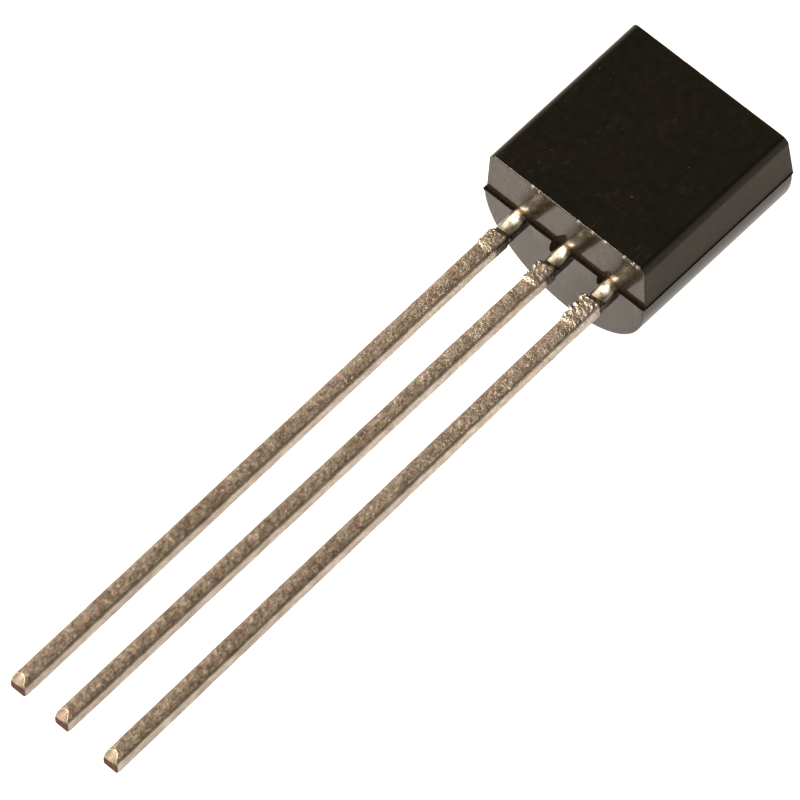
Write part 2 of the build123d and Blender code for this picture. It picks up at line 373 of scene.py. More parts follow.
def tin(name, seed, i):
    m = Nodes(name)
    m.bsdf.inputs["Metallic"].default_value = 1.0
    x, y, z = m.separate()
    nx = m.separate(m.tex.outputs["Normal"])[0]
    rough0, rough1 = ROUGH[i][0], ROUGH[i][1]
    along = m.stretch(1.0, 0.6, 1.0, (seed, seed * 0.7, 0))
    blotch = m.noise(5.0, 5.0, 0.62, along)
    mottle = m.noise(20.0, 4.0, 0.65, m.stretch(1, 0.8, 1, (seed, 0, seed)))
    base = m.ramp(blotch, [(0.30, (0.25, 0.20, 0.155)), (0.45, (0.33, 0.275, 0.225)), (0.56, (0.39, 0.34, 0.285)), (0.72, (0.50, 0.45, 0.39))])
    # patches that lean pink or olive
    hue = m.ramp(m.noise(7.0, 3.0, 0.6, m.stretch(1, 1, 1, (0, seed, seed))), [(0.35, (1.10, 0.94, 0.94)), (0.50, (1.02, 0.99, 0.98)), (0.65, (0.98, 1.02, 0.90))])
    base = m.mix(0.8, base, m.mix(1.0, base, hue, "MULTIPLY"))
    mot = m.ramp(mottle, [(0.30, 0.62), (0.48, 0.98), (0.60, 1.15), (0.74, 1.55)])
    # speckled, more so towards the body
    near = m.maprange(y, -10.0, -2.5, 0.26, 1.0, "LINEAR")
    col = m.mix(near, base, m.mix(1.0, base, mot, "MULTIPLY"))
    pits = m.ramp(m.noise(30.0, 3.0, 0.7, m.stretch(1, 0.8, 1, (seed, 3, 1))), [(0.60, 0.0), (0.70, 1.0)])
    col = m.mix(m.math("MULTIPLY", m.math("MULTIPLY", pits, near), 0.55), col, (0.16, 0.11, 0.07))
    glint = m.ramp(m.noise(30.0, 2.0, 0.6, m.stretch(1, 1, 1, (seed, 5, 2))), [(0.60, 0.0), (0.67, 1.0)])
    col = m.mix(m.math("MULTIPLY", m.math("MULTIPLY", glint, m.maprange(y, -9.0, -3.0, 0.10, 1.0)), 0.65), col, (0.86, 0.80, 0.72))
    # tin pushed up where the tie bar was cut: paler
    ragged = m.math("ADD", y, m.maprange(m.noise(7.0, 3.0, 0.6, m.stretch(1, 1, 1, (seed, 1, 2))), 0.3, 0.7, -0.11, 0.11, "LINEAR"))
    askew = m.math("MULTIPLY", m.math("SUBTRACT", x, (i - 1) * PITCH + ROOT_X[i]), SLANT / (LEAD_W[i] / 2))
    ragged = m.math("SUBTRACT", ragged, askew)
    ysl = m.math("SUBTRACT", y, askew)
    dam = m.band(ragged, rough1 - 0.10, rough1 + 0.08, rough0 - 0.03, rough0 + 0.05)
    crumple = m.noise(8.0, 4.0, 0.62, m.stretch(1, 1, 1, (seed, seed, 0)))
    pale = m.ramp(crumple, [(0.34, (0.26, 0.21, 0.17)), (0.45, (0.40, 0.345, 0.30)), (0.60, (0.49, 0.43, 0.38)), (0.74, (0.66, 0.61, 0.54))])
    col = m.mix(m.math("MULTIPLY", dam, (0.45, 0.75, 0.95)[i]), col, pale)
    # smooth neck next to the body: painted highlight, brighter towards the resin, and painted shade, darker further
    # out
    neck = m.maprange(ysl, rough0 + 0.01, rough0 + 0.06, 0.0, 1.0)
    neck_highlight_tone = m.ramp(m.noise(4.0, 2.0, 0.5, along), [(0.3, (0.44, 0.42, 0.365)), (0.65, (0.60, 0.57, 0.50))])
    neck_shade_tone = m.ramp(m.noise(4.0, 2.0, 0.5, along), [(0.3, (0.36, 0.345, 0.295)), (0.65, (0.48, 0.46, 0.40))])
    col = m.mix(neck, col, m.mix(m.maprange(y, -0.42, -0.20, 0.0, 1.0), neck_shade_tone, neck_highlight_tone))
    # painted shade darkens the groove beside the neck; and a coppery line where the lead leaves the resin
    groove = m.band(ysl, rough0 - 0.045, rough0 - 0.005, rough0 + 0.015, rough0 + 0.07)
    broken = m.maprange(m.noise(9.0, 3.0, 0.6, m.stretch(1, 1, 1, (seed, 2, 7))), 0.38, 0.58, 0.15, 0.85)
    col = m.mix(m.math("MULTIPLY", groove, broken), col, (0.075, 0.06, 0.045))
    root = m.band(y, -0.055, -0.030, 0.03, 0.06)
    col = m.mix(m.math("MULTIPLY", root, 0.85), col, (0.135, 0.062, 0.028))
    # painted shade: the right side of each lead is painted dark near the body, broken up by paler spots
    side = m.maprange(nx, 0.55, 0.85, 0.0, 1.0)
    near_body_shade = m.maprange(y, DARK_SIDE[i] - 0.06, DARK_SIDE[i] + 0.03, 0.0, 1.0)
    spots = m.ramp(m.noise(9.0, 3.0, 0.6, along), [(0.62, 1.0), (0.72, 0.25)])
    col = m.mix(m.math("MULTIPLY", m.math("MULTIPLY", side, near_body_shade), spots), col, (0.060, 0.042, 0.028))
    # the rolled top at the end is duller
    ny = m.separate(m.tex.outputs["Normal"])[1]
    roll = m.math("MULTIPLY", m.maprange(ny, -0.15, -0.45, 0.0, 1.0), m.maprange(y, TIP_Y[i] + 0.30, TIP_Y[i] + 0.20, 0.0, 1.0))
    col = m.mix(m.math("MULTIPLY", roll, 0.85), col, (0.22, 0.185, 0.150))
    # the cut end: bare copper alloy, browned
    cut = m.maprange(y, TIP_Y[i] + 0.035, TIP_Y[i] + 0.008, 0.0, 1.0)
    cut_tone = m.ramp(m.noise(12.0, 3.0, 0.6), [(0.3, (0.045, 0.022, 0.015)), (0.7, (0.12, 0.060, 0.042))])
    col = m.mix(m.math("MULTIPLY", cut, 0.92), col, cut_tone)
    m.color(col)
    r = m.maprange(m.noise(14.0, 4.0, 0.6, along), 0.3, 0.7, 0.27, 0.42, "LINEAR")
    r = m.math("SUBTRACT", r, m.math("MULTIPLY", neck, 0.02))
    r = m.math("ADD", r, m.math("MULTIPLY", cut, 0.15))
    r = m.math("ADD", r, m.math("MULTIPLY", roll, 0.28))
    m.rough(r)
    calm = m.math("MULTIPLY", near, m.math("SUBTRACT", 1.0, neck))
    grit = m.math("MULTIPLY", m.noise(48.0, 3.0, 0.65), calm)
    fine = m.bump(grit, 0.000007, 0.55)
    lumps = m.math("MULTIPLY", mottle, calm)
    second = m.bump(lumps, 0.000016, 0.55, fine)
    m.normal(m.bump(m.math("MULTIPLY", crumple, dam), 0.00002, 0.35, second))
    return m.mat


def plain_metal(name, color_a, color_b, rough_a, rough_b, scale, metallic=1.0):
    m = Nodes(name)
    m.bsdf.inputs["Metallic"].default_value = metallic
    m.color(m.ramp(m.noise(scale, 4.0, 0.6), [(0.3, color_a), (0.7, color_b)]))
    m.rough(m.maprange(m.noise(scale * 2.3, 3.0, 0.6), 0.3, 0.7, rough_a, rough_b, "LINEAR"))
    m.normal(m.bump(m.noise(scale * 6, 2.0, 0.5), 0.000002, 0.3))
    return m.mat


mat_face = epoxy_face()
# the end faces, flanks and round back use one epoxy in copies: the lower gloss of the lower end faces, flanks and
# round back, and their own tones, are painted shade for how the light falls on them
mat_end = epoxy_end("epoxy_end_faces", 0.08, 0.14, 0.9, 0.8, 0.375)
mat_low = epoxy_end("epoxy_lower_end_faces", 0.09, 0.15, 0.8, 0.0, 0.175)
mat_side = epoxy_end("epoxy_flanks", 0.34, 0.44, 1.30, 0.0, 0.07, 0.45)
mat_back = epoxy_end("epoxy_round_back", 0.26, 0.34, 0.9, 0.0, 0.17, 0.6)
mat_step = epoxy_step()

# ------------------------------------------------------------------------------------
# Moulded body: one closed skin. Two wall patches (front half, back half), four end caps
# and the step between the halves, sewn point to point.
# ------------------------------------------------------------------------------------
EDGE_R = 0.020
ROUND_STEPS = 4


def front_ring():
    """Points up the right flank, over the flat, down the left flank; and outward normals."""
    half0, half1 = W_PART / 2, W_FACE / 2
    slant = math.atan2(half0 - half1, DEPTH)          # flanks lean in by this
    n_right = np.array([math.cos(slant), math.sin(slant)])
    # round between flank line and flat line
    corner = np.array([half1, DEPTH])
    turn_angle = math.pi / 2 - slant                  # from flank normal to +z
    t = R_FLAT * math.tan(turn_angle / 2)
    down = np.array([half0 - half1, -DEPTH]) / math.hypot(half0 - half1, DEPTH)
    start = corner + down * t
    centre = start - n_right * R_FLAT
    pts, nrm = [], []
    n_flank = 26
    for k in range(n_flank):
        f = k / n_flank
        pts.append(np.array([half0, 0.0]) * (1 - f) + start * f)
        nrm.append(np.array([1.0, 0.0]) * max(0, 1 - f * 6) + n_right * min(1, f * 6))
    n_round = 9
    for k in range(n_round + 1):
        a = slant + turn_angle * k / n_round
        nn = np.array([math.cos(a), math.sin(a)])
        pts.append(centre + R_FLAT * nn)
        nrm.append(nn)
    x0 = centre[0]
    n_flat = 156
    for k in range(1, n_flat):
        pts.append(np.array([x0 * (1 - 2 * k / n_flat), DEPTH]))
        nrm.append(np.array([0.0, 1.0]))
    pts, nrm = np.array(pts), np.array(nrm)
    left_p, left_n = pts[:n_flank + n_round + 1][::-1].copy(), nrm[:n_flank + n_round + 1][::-1].copy()
    left_p[:, 0] *= -1
    left_n[:, 0] *= -1
    pts, nrm = np.vstack([pts, left_p]), np.vstack([nrm, left_n])
    nrm /= np.linalg.norm(nrm, axis=1)[:, None]
    return pts, nrm


def back_ring():
    half = W_PART / 2 + SIDE_LEDGE
    pts, nrm = [np.array([half, 0.0])], [np.array([1.0, 0.0])]
    for f in (0.35, 0.7):
        a = np.array([half, 0.0]) * (1 - f) + np.array([R_BACK, Z_BACK]) * f
        pts.append(a)
        nrm.append(np.array([1.0, -0.25]))
    n = 150
    for k in range(n + 1):
        a = -math.pi * k / n
        pts.append(np.array([R_BACK * math.cos(a), Z_BACK + R_BACK * math.sin(a)]))
        nrm.append(np.array([math.cos(a), math.sin(a)]))
    for f in (0.7, 0.35):
        pts.append(np.array([-(half * (1 - f) + R_BACK * f), Z_BACK * f]))
        nrm.append(np.array([-1.0, -0.25]))
    pts.append(np.array([-half, 0.0]))
    nrm.append(np.array([-1.0, 0.0]))
    pts, nrm = np.array(pts), np.array(nrm)
    nrm /= np.linalg.norm(nrm, axis=1)[:, None]
    return pts, nrm


# the lead side: thin webs of flash beside the leads, and a slightly wavy step
WEBS = [(-0.210, -0.06, 0.115, 0.20, 0.17), (1.055, -0.04, 0.100, 0.15, 0.11)]  # x, z, half width, half height, reach


def web_reach(x, z):
    out = np.zeros_like(x)
    for cx_, cz_, hw, hh, reach in WEBS:
        d = np.abs((x - cx_) / hw) ** 1.8 + np.abs((z - cz_) / hh) ** 1.8
        out = np.maximum(out, reach * np.clip(1 - d, 0, 1) ** 0.8)
    return out


def step_wave(x):
    return 0.010 * np.array([noise.noise(Vector((v * 2.3, 3.1, 0.4))) + 0.6 * noise.noise(Vector((v * 6.1, 1.7, 0.2))) for v in x])


def y_low_front(x, z):
    return LEAN_LOW * z / DEPTH


def y_high_front(x, z):
    return HEIGHT - LEAN_TOP * z / DEPTH


def y_low_back(x, z):
    y = -LEDGE + LEAN_BACK * (-z) / (R_BACK - Z_BACK)
    return y - web_reach(x, z) - step_wave(x) * np.clip(1 + z / 0.35, 0, 1)


def y_high_back(x, z):
    return TOP_BACK - LEAN_BACK * (-z) / (R_BACK - Z_BACK)


def wall_rows(ring, nrm, y_low, y_high, r):
    """Grid of points [row, ring index] from the low cap's rim to the high cap's rim."""
    rows = []
    x, z = ring[:, 0], ring[:, 1]
    for k in range(ROUND_STEPS + 1):
        a = math.pi / 2 * (1 - k / ROUND_STEPS)
        inset = r * (1 - math.cos(a))
        xi, zi = x - nrm[:, 0] * inset, z - nrm[:, 1] * inset
        rows.append(np.stack([xi, y_low(xi, zi) + r * (1 - math.sin(a)), zi], -1))
    lo, hi = y_low(x, z) + r, y_high(x, z) - r
    steps = [0.0]
    d = 0.016
    while sum(steps) < 2.2:
        steps.append(d)
        d = min(d * 1.12, 0.055)
    half = np.cumsum(steps)
    half = half / half[-1] * 0.5
    t = np.concatenate([half[1:], 1 - half[::-1][1:]])[:-1]
    t = np.concatenate([half[1:-1], [0.5], (1 - half[1:-1])[::-1]])
    for f in t:
        rows.append(np.stack([x, lo * (1 - f) + hi * f, z], -1))
    for k in range(ROUND_STEPS + 1):
        a = math.pi / 2 * k / ROUND_STEPS
        inset = r * (1 - math.cos(a))
        xi, zi = x - nrm[:, 0] * inset, z - nrm[:, 1] * inset
        rows.append(np.stack([xi, y_high(xi, zi) - r * (1 - math.sin(a)), zi], -1))
    return np.array(rows)


class Skin:
    def __init__(self):
        self.points, self.faces, self.kinds = [], [], []
        self.n = 0

    def add(self, pts):
        base = self.n
        self.points.append(np.asarray(pts, float).reshape(-1, 3))
        self.n += len(self.points[-1])
        return base

    def grid(self, base, rows, cols, kind, flip=False):
        for j in range(rows - 1):
            for i in range(cols - 1):
                a = base + j * cols + i
                f = (a, a + 1, a + cols + 1, a + cols)
                self.faces.append(f[::-1] if flip else f)
                self.kinds.append(kind(j, i) if callable(kind) else kind)

    def strip(self, a, b, kind):
        for k in range(len(a) - 1):
            self.faces.append((a[k], a[k + 1], b[k + 1], b[k]))
            self.kinds.append(kind)


FACE, END, SIDE, BACK, STEP, LOW = range(6)
skin = Skin()
ring_f, nrm_f = front_ring()
ring_b, nrm_b = back_ring()
rows_f = wall_rows(ring_f, nrm_f, y_low_front, y_high_front, EDGE_R)
rows_b = wall_rows(ring_b, nrm_b, y_low_back, y_high_back, EDGE_R)
n_rows = len(rows_f)


def chip(points):
    """Push the points near the flat's end edges inward where the edges are chipped."""
    p = points.copy()
    for chips, edge_y, sign in ((CHIPS_LOW, LEAN_LOW, 1), (CHIPS_TOP, HEIGHT - LEAN_TOP, -1)):
        for x0, size, depth in chips:
            dy = (p[..., 1] - edge_y) * sign
            dz = DEPTH - p[..., 2]
            reach = np.sqrt(np.clip(dy, 0, None) ** 2 + np.clip(dz, 0, None) ** 2)
            dx = np.abs(p[..., 0] - x0) / size
            w = np.clip(1 - dx, 0, 1) ** 0.6 * np.clip(1 - reach / (depth * 2.6), 0, 1)
            uneven = 0.55 + 0.45 * np.sin(p[..., 0] * 97.0 + x0 * 31.0) * np.sin(p[..., 0] * 41.0)
            p[..., 1] += sign * depth * 0.55 * w * uneven
            p[..., 2] -= depth * 0.65 * w * uneven
    return p


rows_f = chip(rows_f)

cols_f, cols_b = rows_f.shape[1], rows_b.shape[1]
base_f = skin.add(rows_f)


def kind_front(j, i):
    nz = nrm_f[min(i, cols_f - 1)][1]
    return FACE if nz > 0.5 else SIDE


skin.grid(base_f, n_rows, cols_f, kind_front)
base_b = skin.add(rows_b)
skin.grid(base_b, n_rows, cols_b, BACK)

# the step seen from the front, and its sides: front rows to back rows, at the two ends of the rings
right_f = [base_f + j * cols_f for j in range(n_rows)]
left_f = [base_f + j * cols_f + cols_f - 1 for j in range(n_rows)]
right_b = [base_b + j * cols_b for j in range(n_rows)]
left_b = [base_b + j * cols_b + cols_b - 1 for j in range(n_rows)]
skin.strip(right_f, right_b, STEP)
skin.strip(left_f, left_b, STEP)


def cap(outline, closing, y_of, spacing, kind, seed):
    """Fill an end: outline is the rim from right to left, closing the line back along z = 0."""
    loop = outline + closing
    pts2 = [Vector((skin_xy[v][0], skin_xy[v][2])) for v in loop]
    poly = np.array([(p.x, p.y) for p in pts2])
    lo, hi = poly.min(0), poly.max(0)
    rng = np.random.default_rng(seed)
    inner = []
    z = lo[1] + spacing * 0.5
    while z < hi[1]:
        dense = z > -0.36 and z < 0.0
        step = spacing * (0.5 if dense else 1.0)
        xs = np.arange(lo[0] + step * 0.5, hi[0], step)
        for xx in xs:
            inner.append((xx + rng.uniform(-0.12, 0.12) * step, z + rng.uniform(-0.12, 0.12) * step))
        z += step
    inner = np.array(inner)
    # keep those inside and clear of the rim
    inside = np.zeros(len(inner), bool)
    j = len(poly) - 1
    for i in range(len(poly)):
        xi, yi, xj, yj = poly[i, 0], poly[i, 1], poly[j, 0], poly[j, 1]
        if yi != yj:
            cross = ((yi > inner[:, 1]) != (yj > inner[:, 1])) & (
                inner[:, 0] < (xj - xi) * (inner[:, 1] - yi) / (yj - yi) + xi)
            inside ^= cross
        j = i
    inner = inner[inside]
    near = np.full(len(inner), 1e9)
    for q in poly:
        near = np.minimum(near, np.hypot(inner[:, 0] - q[0], inner[:, 1] - q[1]))
    inner = inner[near > 0.012]
    verts = pts2 + [Vector(p) for p in inner]
    n = len(loop)
    edges = [(k, (k + 1) % n) for k in range(n)]
    out = delaunay_2d_cdt(verts, edges, [], 1, 1e-7)
    new_pts, tris, orig = out[0], out[2], out[3]
    index = []
    extra = []
    for k, p in enumerate(new_pts):
        o = [q for q in orig[k] if q < n]
        if o:
            index.append(loop[o[0]])
        else:
            index.append(None)
            extra.append(k)
    ex = np.array([new_pts[k].x for k in extra])
    ez = np.array([new_pts[k].y for k in extra])
    base = skin.add(np.stack([ex, y_of(ex, ez), ez], -1))
    for c, k in enumerate(extra):
        index[k] = base + c
    for t in tris:
        skin.faces.append(tuple(index[v] for v in t))
        cx_ = sum(new_pts[v].x for v in t) / 3
        cz_ = sum(new_pts[v].y for v in t) / 3
        on_web = kind == LOW and any(((cx_ - w[0]) / w[2]) ** 2 + ((cz_ - w[1]) / w[3]) ** 2 < 1.1 for w in WEBS)
        skin.kinds.append(STEP if on_web else kind)


# lines along z = 0 at both ends, with the same number of points on the two halves
N_LINE = 220
line_t = np.linspace(0, 1, N_LINE + 1)[1:-1]


def z0_line(a, b, y_fn):
    xa, xb = a[0], b[0]
    x = xa * (1 - line_t) + xb * line_t
    return np.stack([x, y_fn(x, np.zeros_like(x)), np.zeros_like(x)], -1)


all_points = np.vstack(skin.points)
f_low_r, f_low_l = right_f[0], left_f[0]
b_low_r, b_low_l = right_b[0], left_b[0]
line_f_low = skin.add(z0_line(all_points[f_low_l], all_points[f_low_r], y_low_front))
line_b_low = skin.add(z0_line(all_points[b_low_l], all_points[b_low_r], y_low_back))
line_f_top = skin.add(z0_line(all_points[left_f[-1]], all_points[right_f[-1]], y_high_front))
line_b_top = skin.add(z0_line(all_points[left_b[-1]], all_points[right_b[-1]], y_high_back))
skin_xy = np.vstack(skin.points)
n_mid = N_LINE - 1
ids = lambda b: [b + k for k in range(n_mid)]
low_f = [f_low_l] + ids(line_f_low) + [f_low_r]
low_b = [b_low_l] + ids(line_b_low) + [b_low_r]
top_f = [left_f[-1]] + ids(line_f_top) + [right_f[-1]]
top_b = [left_b[-1]] + ids(line_b_top) + [right_b[-1]]
skin.strip(low_f, low_b, STEP)
skin.strip(top_f, top_b, BACK)

rim_f_low = [base_f + i for i in range(cols_f)]
rim_b_low = [base_b + i for i in range(cols_b)]
rim_f_top = [base_f + (n_rows - 1) * cols_f + i for i in range(cols_f)]
rim_b_top = [base_b + (n_rows - 1) * cols_b + i for i in range(cols_b)]
cap(rim_f_low, ids(line_f_low), y_low_front, 0.045, END, 3)
cap(rim_b_low, ids(line_b_low), y_low_back, 0.045, LOW, 4)
cap(rim_f_top, ids(line_f_top), y_high_front, 0.07, END, 5)
cap(rim_b_top, ids(line_b_top), y_high_back, 0.07, END, 6)

body_points = np.vstack(skin.points)
body = make_mesh("epoxy_body", body_points, skin.faces, (mat_face, mat_end, mat_side, mat_back, mat_step, mat_low), skin.kinds, 32.0)

import bmesh
bm = bmesh.new()
bm.from_mesh(body.data)
bmesh.ops.remove_doubles(bm, verts=bm.verts, dist=2e-7)
bmesh.ops.recalc_face_normals(bm, faces=bm.faces)
open_edges = sum(1 for e in bm.edges if len(e.link_faces) != 2)
print("body faces", len(bm.faces), "open or extra edges", open_edges)
bm.to_mesh(body.data)
bm.free()
body.data.update()
body.data.set_sharp_from_angle(angle=math.radians(32))
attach(body, "root")
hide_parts("moulded_body")


# ------------------------------------------------------------------------------------
# Leads: a rounded rectangle run along each lead, dense outside the body, with the bond post
# or the die paddle inside.
# ------------------------------------------------------------------------------------
def loop_template():
    """Side of the section, position along it, and corner angle, once round from the top right corner."""
    out = []

    def corner(sx, sz, a0, a1, n=4):
        for k in range(n):
            a = a0 + (a1 - a0) * k / (n - 1)
            out.append(("c", sx, sz, math.radians(a)))

    def side(kind, n):
        for k in range(1, n + 1):
            out.append((kind, k / (n + 1), 0, 0))

    corner(1, 1, 90, 0)
    side("r", 9)
    corner(1, -1, 0, -90)
    side("b", 12)
    corner(-1, -1, -90, -180)
    side("l", 9)
    corner(-1, 1, 180, 90)
    side("t", 20)
    return out


TEMPLATE = loop_template()
N_LOOP = len(TEMPLATE)


def section(w_left, w_right, z_bot, z_top, r):
    """Points (x, z) round the section, and outward normals. w_left and w_right are x limits."""
    pts, nrm = np.empty((N_LOOP, 2)), np.empty((N_LOOP, 2))
    for k, (kind, a, b, c) in enumerate(TEMPLATE):
        if kind == "c":
            x = (w_right - r) if a > 0 else (w_left + r)
            z = (z_top - r) if b > 0 else (z_bot + r)
            nrm[k] = (math.cos(c), math.sin(c))
            pts[k] = (x + r * nrm[k][0], z + r * nrm[k][1])
        elif kind == "r":
            nrm[k] = (1, 0)
            pts[k] = (w_right, (z_top - r) * (1 - a) + (z_bot + r) * a)
        elif kind == "b":
            nrm[k] = (0, -1)
            pts[k] = ((w_right - r) * (1 - a) + (w_left + r) * a, z_bot)
        elif kind == "l":
            nrm[k] = (-1, 0)
            pts[k] = (w_left, (z_bot + r) * (1 - a) + (z_top - r) * a)
        else:
            nrm[k] = (0, 1)
            pts[k] = ((w_left + r) * (1 - a) + (w_right - r) * a, z_top)
    return pts, nrm




def inner_edges(i):
    """(y, x) lists of the left and right edge inside the body, as in the CAD."""
    w = LEAD_W[i] / 2
    pad_x = PAD_W / 2 + 0.16
    if i == 1:
        right = [(-0.5, w), (PAD_Y0 - 0.25, w), (PAD_Y0, PAD_W / 2), (PAD_Y1, PAD_W / 2), (PAD_Y1 + 0.12, 0.55)]
        left = [(y, -x) for y, x in right]
    elif i == 0:
        right = [(-0.5, -PITCH + w), (POST_Y0, -PITCH + w), (POST_Y0 + 0.18, -pad_x), (POST_Y1, -pad_x)]
        left = [(-0.5, -PITCH - w), (POST_Y0 - 0.25, -PITCH - w), (POST_Y0, -pad_x - POST_W), (POST_Y1, -pad_x - POST_W)]
    else:
        left = [(-0.5, PITCH - w), (POST_Y0, PITCH - w), (POST_Y0 + 0.18, pad_x), (POST_Y1, pad_x)]
        right = [(-0.5, PITCH + w), (POST_Y0 - 0.25, PITCH + w), (POST_Y0, pad_x + POST_W), (POST_Y1, pad_x + POST_W)]
    return left, right


def build_lead(name, node, i, seed):
    mid_x, half, half_t = (i - 1) * PITCH, LEAD_W[i] / 2, LEAD_T / 2
    tip = TIP_Y[i]
    rough0, rough1, ex_l, ex_r = ROUGH[i]
    left, right = inner_edges(i)
    ys = list(np.arange(tip, tip + 0.36, 0.012)) + list(np.arange(tip + 0.36, -1.62, 0.024)) + list(np.arange(-1.62, -0.02, 0.0115))
    breaks = sorted({0.0, *[y for y, _ in left if y > 0], *[y for y, _ in right if y > 0]})
    inner = [0.0]
    for a, b in zip(breaks[:-1], breaks[1:]):
        n = max(1, int((b - a) / 0.12))
        inner += [a + (b - a) * k / n for k in range(1, n + 1)]
    ys = np.array(ys + inner)
    L, R = np.array(left), np.array(right)
    pts, nrm = [], []
    for y in ys:
        f = min(1.0, max(0.0, (y - BEND_Y) / (tip - BEND_Y)))
        cx_ = ROOT_X[i] * (1 - f) * float(smooth(0.9, 0.2, y)) + TIP_X[i] * f
        drop = TIP_DROP[i] * f
        xl = np.interp(y, L[:, 0], L[:, 1]) if y > -0.5 else mid_x - half
        xr = np.interp(y, R[:, 0], R[:, 1]) if y > -0.5 else mid_x + half
        m = float(smooth(rough0 + 0.01, rough0 - 0.05, y) * smooth(rough1 - 0.08, rough1 + 0.05, y))
        neck = float(smooth(rough0 + 0.01, rough0 + 0.07, y) * smooth(0.10, -0.02, y))
        groove = math.exp(-((y - rough0 - 0.010) / 0.040) ** 2)
        ragged = 0.55 + 0.9 * noise.noise(Vector((y * 7.0, seed, 1.0))) + 0.5 * noise.noise(Vector((y * 19.0, seed, 4.0)))
        xl = xl + cx_ - ex_l * m * max(0.15, ragged) + 0.040 * groove - (0.018 * neck if i == 2 else 0.0)
        xr = xr + cx_ + ex_r * m - 0.020 * groove - 0.012 * neck
        zb = LEAD_Z - half_t - drop + 0.012 * groove
        zt = LEAD_Z + half_t - drop + 0.010 * m - 0.008 * groove - 0.022 * neck * float(smooth(-0.16, -0.40, y))
        r = 0.048 + 0.030 * neck if y < 0.05 else 0.02
        p, n_ = section(xl, xr, zb, zt, r)
        pts.append(np.column_stack([p[:, 0], np.full(N_LOOP, y), p[:, 1]]))
        nrm.append(n_)
    P, N = np.array(pts), np.array(nrm)
    rows = len(ys)
    x, y, z = P[..., 0].ravel(), P[..., 1].ravel(), P[..., 2].ravel()
    nz = N[..., 1].ravel()
    outside = y < -0.01
    near_cut = np.where((y < rough0 + 0.1) & (y > rough1 - 0.5))[0]
    ragged_y = y.copy()
    ragged_y[near_cut] += 0.16 * fbm(x[near_cut], y[near_cut], z[near_cut], 4.5, 2, seed + 3.0)
    m = smooth(rough0 + 0.01, rough0 - 0.05, y) * smooth(rough1 - 0.22, rough1 + 0.10, ragged_y)
    neck = smooth(rough0 - 0.02, rough0 + 0.08, y)
    # a slight crown across the top, stronger on the neck
    mid = mid_x + ROOT_X[i] + (TIP_X[i] - ROOT_X[i]) * np.clip((y - BEND_Y) / (tip - BEND_Y), 0, 1)
    across = np.clip(np.abs(x - mid) / half, 0, 1)
    crown = (0.012 + 0.022 * neck) * (y < 0.02)
    # a small dome of metal just before the resin
    dome_x = mid + (0.085, 0.145, 0.050)[i]
    dome = 0.024 * np.exp(-((y + 0.145) / 0.095) ** 2 - ((x - dome_x) / 0.15) ** 2) * (y < 0.0)
    d = np.zeros(len(x))
    askew = SLANT * np.clip((x - mid) / half, -1, 1)
    ys_ = y - askew * (y > rough0 - 0.4)
    d -= 0.026 * np.exp(-((ys_ - rough0 - 0.012) / 0.045) ** 2) * (nz > 0.3)
    o = np.where(outside)[0]
    wide = fbm(x[o], y[o] * 0.6, z[o], 2.2, 2, seed)
    lumps = fbm(x[o], y[o], z[o], 8.0, 3, seed + 5.0, 0.6)
    fine = fbm(x[o], y[o], z[o], 26.0, 3, seed + 9.0, 0.6)
    folds = 1 - np.abs(fbm(x[o], y[o] * 0.8, z[o], 11.0, 2, seed + 13.0, 0.5)) * 2.2
    folds = np.clip(folds, -0.6, 1) ** 3
    leg = 1 - m[o]
    calm = 1 - neck[o]
    d[o] = (0.0035 * wide * calm + 0.0026 * lumps * calm + 0.0016 * fine * calm) * leg
    rise = (0.30, 0.42, 0.62)[i]
    d[o] += m[o] * rise * (0.008 * folds + 0.014 * lumps + 0.003 * fine - 0.001)
    dip = np.exp(-((ys_[o] - rough0 - 0.005) / 0.045) ** 2)
    d[o] += dip * 0.009 * lumps
    # beads of tin along the left edge
    for y0, size in BEADS[i]:
        d[o] += 0.9 * size * np.exp(-((y[o] - y0) ** 2 + np.clip(x[o] - (mid[o] - half - 0.01), 0, None) ** 2) / (size * 0.9) ** 2)
    P[..., 0] += (d * N[..., 0].ravel()).reshape(rows, N_LOOP)
    P[..., 2] += (d * N[..., 1].ravel() + (dome - crown * across ** 2) * (nz > 0.3)).reshape(rows, N_LOOP)
    # the sheared end: the top rolls down towards the cut, further on the left
    s = (ys - tip)[:, None]
    fx = (P[..., 0] - (mid_x + TIP_X[i])) / half
    reach = np.clip(0.245 * (1 - ((fx + 0.30) / 0.95) ** 2), 0.045, None)
    roll = np.clip(1 - s / reach, 0, 1)
    level = (P[..., 2] - (LEAD_Z - half_t - TIP_DROP[i])) / LEAD_T
    P[..., 2] -= np.clip(level, 0, 1) * (0.115 + 0.02 * (fx < 0)) * roll ** 1.25
    pinch = np.clip(1 - s / 0.10, 0, 1) ** 2
    P[..., 0] -= 0.020 * pinch * np.sign(fx) * np.clip(np.abs(fx), 0, 1)
    P[..., 2] += 0.018 * pinch * (level < 0.3)
    points = P.reshape(-1, 3)
    faces = []
    for j in range(rows - 1):
        for k in range(N_LOOP):
            a, b = j * N_LOOP + k, j * N_LOOP + (k + 1) % N_LOOP
            faces.append((a, b, b + N_LOOP, a + N_LOOP))
    extra = []

    def close(row, sign, rings, amp):
        rim = P[row]
        centre = rim.mean(0)
        prev = [row * N_LOOP + k for k in range(N_LOOP)]
        for f in rings:
            base = len(points) + len(extra)
            for k in range(N_LOOP):
                q = centre + (rim[k] - centre) * f
                q = q.copy()
                q[1] += amp * noise.noise(Vector((q[0] * 14 + seed, q[2] * 22, f * 3)))
                extra.append(q)
            new = [base + k for k in range(N_LOOP)]
            for k in range(N_LOOP):
                a, b = prev[k], prev[(k + 1) % N_LOOP]
                c, e = new[(k + 1) % N_LOOP], new[k]
                faces.append((b, a, e, c) if sign < 0 else (a, b, c, e))
            prev = new
        extra.append(centre)
        last = len(points) + len(extra) - 1
        for k in range(N_LOOP):
            a, b = prev[k], prev[(k + 1) % N_LOOP]
            faces.append((b, a, last) if sign < 0 else (a, b, last))

